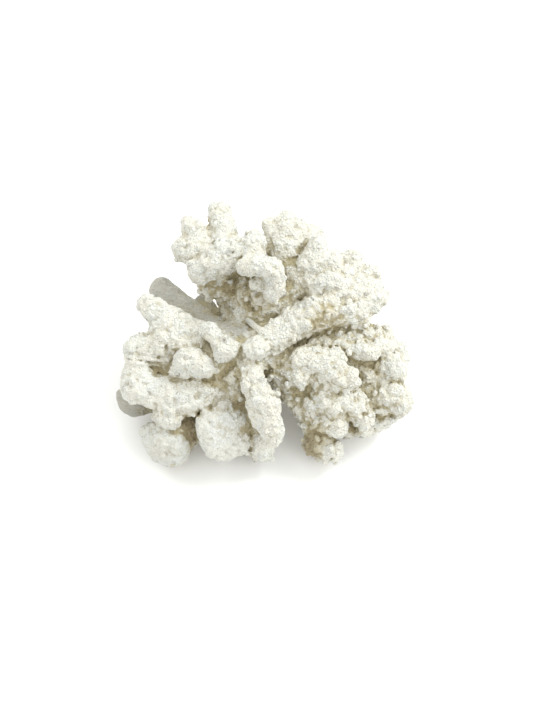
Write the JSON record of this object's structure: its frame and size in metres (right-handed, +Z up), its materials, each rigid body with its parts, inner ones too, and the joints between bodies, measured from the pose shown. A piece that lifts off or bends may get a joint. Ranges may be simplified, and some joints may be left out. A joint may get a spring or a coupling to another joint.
{
  "type": "branching coral",
  "caption": "Dome of knobbly cream coral branches fanned out from a short trunk that is cut off flat, for display on a shelf or table.",
  "frame": {"origin": "on the flat cut under the trunk, straight below the heart where the branches meet", "axes": "+Z up out of the cut face, +X across the colony to the side with the thick cluster of clubs, +Y away from the viewer"},
  "size_m": [0.1474, 0.1183, 0.0837],
  "materials": {
    "warty_skeleton": "dull chalky coral skeleton with fine pores, tan in the hollows",
    "smooth_skeleton": "dull smooth coral skeleton with fine pores, greyer"
  },
  "bodies": {
    "root": {"trunk": "smooth_skeleton", "upper_left_branch": "warty_skeleton", "top_middle_branch": "warty_skeleton", "top_right_branch": "warty_skeleton", "right_upper_twig": "warty_skeleton", "right_branch": "warty_skeleton", "lower_right_stem": "warty_skeleton", "lower_right_foot": "warty_skeleton", "lower_right_lower_club": "warty_skeleton", "lower_right_front_club": "warty_skeleton", "lower_right_upper_club": "warty_skeleton", "lower_right_outer_club": "warty_skeleton", "lower_right_tip_club": "warty_skeleton", "lower_right_low_club": "warty_skeleton", "front_branch": "warty_skeleton", "front_low_branch": "warty_skeleton", "front_paddle": "smooth_skeleton", "corner_paddle": "smooth_skeleton", "left_branch": "warty_skeleton", "left_club": "warty_skeleton", "left_upper_finger": "warty_skeleton", "left_lower_finger": "warty_skeleton", "inner_twig": "warty_skeleton", "centre_knob": "warty_skeleton", "smooth_back_finger": "smooth_skeleton", "rear_left_stub": "smooth_skeleton", "left_low_tip": "smooth_skeleton", "rear_low_branch": "warty_skeleton", "right_low_branch": "warty_skeleton", "rear_right_branch": "warty_skeleton"}
  },
  "joints": []
}
